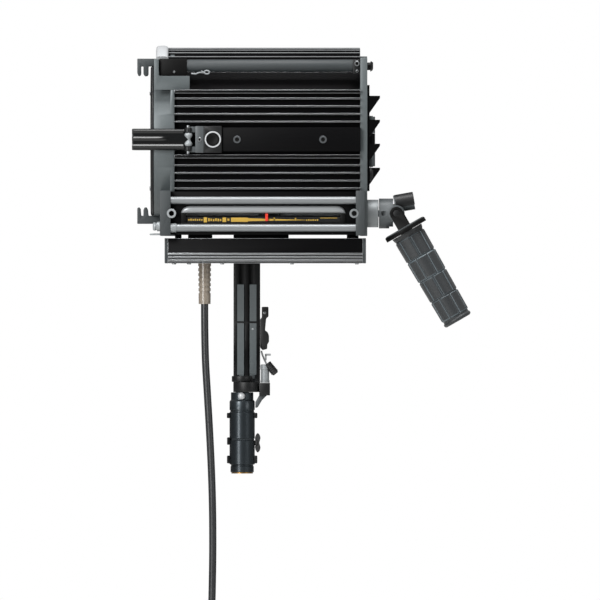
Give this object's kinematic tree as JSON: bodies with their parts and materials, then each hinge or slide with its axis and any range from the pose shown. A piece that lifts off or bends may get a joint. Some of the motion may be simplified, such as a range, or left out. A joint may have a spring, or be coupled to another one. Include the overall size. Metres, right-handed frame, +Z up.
{
  "type": "plano-convex spotlight",
  "caption": "Finned plano-convex spotlight with a twist-grip focus handle, rear door, one-armed tilting yoke, spigot socket and coiled mains lead.",
  "frame": {"origin": "mouth of the spigot socket, on the socket's axis", "axes": "+Z up along the socket's axis, +X from the lens to the rear door, +Y away from the focus side, towards the yoke's arm"},
  "size_m": [0.4093, 0.2378, 0.8893],
  "materials": {
    "black_anodised": "satin black anodised extrusion",
    "grey_casting": "satin mid-grey painted casting",
    "black_paint": "fine-textured black paint",
    "bright_metal": "bright machined aluminium",
    "steel": "ground steel",
    "textured_grey": "textured grey paint",
    "optical_glass": "polished clear glass",
    "lamp_glass": "quartz glass",
    "mirror_metal": "polished reflector",
    "ceramic": "unglazed ceramic",
    "black_plastic": "moulded black plastic",
    "gloss_black": "gloss black paint",
    "red_paint": "red needle",
    "scale_black": "black scale with plain gold marks",
    "grip_rubber": "moulded rubber",
    "cord_rubber": "smooth rubber cable sheath",
    "relief_rubber": "glossy rubber sleeve",
    "brass": "turned brass"
  },
  "bodies": {
    "socket": {"spigot_socket": "gloss_black", "socket_bush": "brass", "pan_nut": "steel"},
    "socket_lock": {"socket_lock": "black_plastic"},
    "yoke": {"yoke_arm": "black_paint"},
    "pan_lock": {"pan_lock": "black_paint"},
    "arm_lever": {"arm_lever": "black_paint"},
    "tilt_knob": {"tilt_knob": "black_plastic"},
    "latch_lever": {"latch_lever": "black_paint"},
    "latch_button": {"latch_button": "black_plastic"},
    "rear_door": {"rear_door": "black_anodised"},
    "door_knob": {"door_knob": "black_plastic"},
    "handle": {"handle_yoke": "black_paint"},
    "grip": {"grip_core": "black_plastic", "grip_rubber": "grip_rubber"},
    "screw": {"lead_screw": "steel"},
    "carriage": {"carriage": "black_paint", "focus_nut": "black_paint", "needle": "red_paint", "lamp_holder": "ceramic", "lamp": "lamp_glass", "reflector": "mirror_metal"},
    "head": {"housing": "black_anodised", "side_rails": "black_anodised", "rail_screws": "steel", "front_frame": "grey_casting", "lens_ring": "black_paint", "lens": "optical_glass", "lens_cell": "black_paint", "claws": "black_paint", "rear_frame": "black_paint", "hinge_pins": "steel", "top_bars": "textured_grey", "front_brackets": "grey_casting", "bar_fittings": "textured_grey", "top_cap": "bright_metal", "button_block": "black_paint", "button_ring": "bright_metal", "latch_base": "black_paint", "rod_blocks": "black_paint", "guard_rods": "bright_metal", "scale_cover": "black_anodised", "scale_bezel": "bright_metal", "scale_glass": "optical_glass", "scale_plate": "scale_black", "cover_screws": "steel", "base_box": "black_anodised", "base_ends": "black_anodised", "base_spacers": "black_anodised", "strain_relief": "relief_rubber", "guide_rails": "steel", "focus_sleeve": "bright_metal", "handle_collar": "black_paint", "handle_pins": "steel", "pivot_hub": "black_paint", "cord_tube": "cord_rubber", "cord_coil": "cord_rubber", "cord_tie": "black_plastic", "plug_body": "black_plastic", "plug_pins": "brass"}
  },
  "joints": [
    {"name": "yoke_pan", "type": "hinge", "parent": "socket", "child": "yoke", "pos_m": [0, 0, 0.104], "axis": [0, 0, 1], "range_deg": [-170, 170]},
    {"name": "socket_lock_turn", "type": "hinge", "parent": "socket", "child": "socket_lock", "pos_m": [0.0155, 0, 0.037], "axis": [1, 0, 0], "range_deg": [-180, 180]},
    {"name": "pan_lock_turn", "type": "hinge", "parent": "yoke", "child": "pan_lock", "pos_m": [0.0275, 0, 0.12], "axis": [0, 0, 1], "range_deg": [-90, 90]},
    {"name": "arm_lever_turn", "type": "hinge", "parent": "yoke", "child": "arm_lever", "pos_m": [0.0218, 0.1094, 0.162], "axis": [1, 0, 0], "range_deg": [-60, 60]},
    {"name": "head_tilt", "type": "hinge", "parent": "yoke", "child": "head", "pos_m": [0.0054, 0.112, 0.4], "axis": [0, 1, 0], "range_deg": [-60, 60]},
    {"name": "tilt_knob_turn", "type": "hinge", "parent": "yoke", "child": "tilt_knob", "pos_m": [0.0054, 0.128, 0.4], "axis": [0, 1, 0], "range_deg": [0, 270]},
    {"name": "latch_lever_swing", "type": "hinge", "parent": "head", "child": "latch_lever", "pos_m": [-0.0647, -0.095, 0.4014], "axis": [0, 0, 1], "range_deg": [0, 75]},
    {"name": "latch_button_press", "type": "slide", "parent": "head", "child": "latch_button", "axis": [0, 1, 0], "range_m": [0, 0.003], "stiffness_N_per_m": 400},
    {"name": "rear_door_swing", "type": "hinge", "parent": "head", "child": "rear_door", "pos_m": [0.1556, 0.074, 0.4], "axis": [0, 0, 1], "range_deg": [0, 100]},
    {"name": "door_knob_turn", "type": "hinge", "parent": "rear_door", "child": "door_knob", "pos_m": [0.154, -0.058, 0.36], "axis": [1, 0, 0], "range_deg": [0, 90]},
    {"name": "handle_angle", "type": "hinge", "parent": "head", "child": "handle", "pos_m": [0.1853, -0.058, 0.3127], "axis": [0, 1, 0], "range_deg": [-25, 28]},
    {"name": "grip_twist", "type": "hinge", "parent": "handle", "child": "grip", "pos_m": [0.1853, -0.058, 0.3127], "axis": [0.5, 0, -0.866], "range_deg": [-541, 451]},
    {"name": "focus_screw_turn", "type": "hinge", "parent": "head", "child": "screw", "pos_m": [0.1853, -0.058, 0.3127], "axis": [1, 0, 0], "range_deg": [-541, 451]},
    {"name": "focus_travel", "type": "slide", "parent": "head", "child": "carriage", "axis": [1, 0, 0], "range_m": [-0.06, 0.05]}
  ],
  "couplings": [
    {"joint": "focus_screw_turn", "follows": "focus_travel", "rad_per_m": 157.08},
    {"joint": "grip_twist", "follows": "focus_travel", "rad_per_m": 157.08}
  ]
}
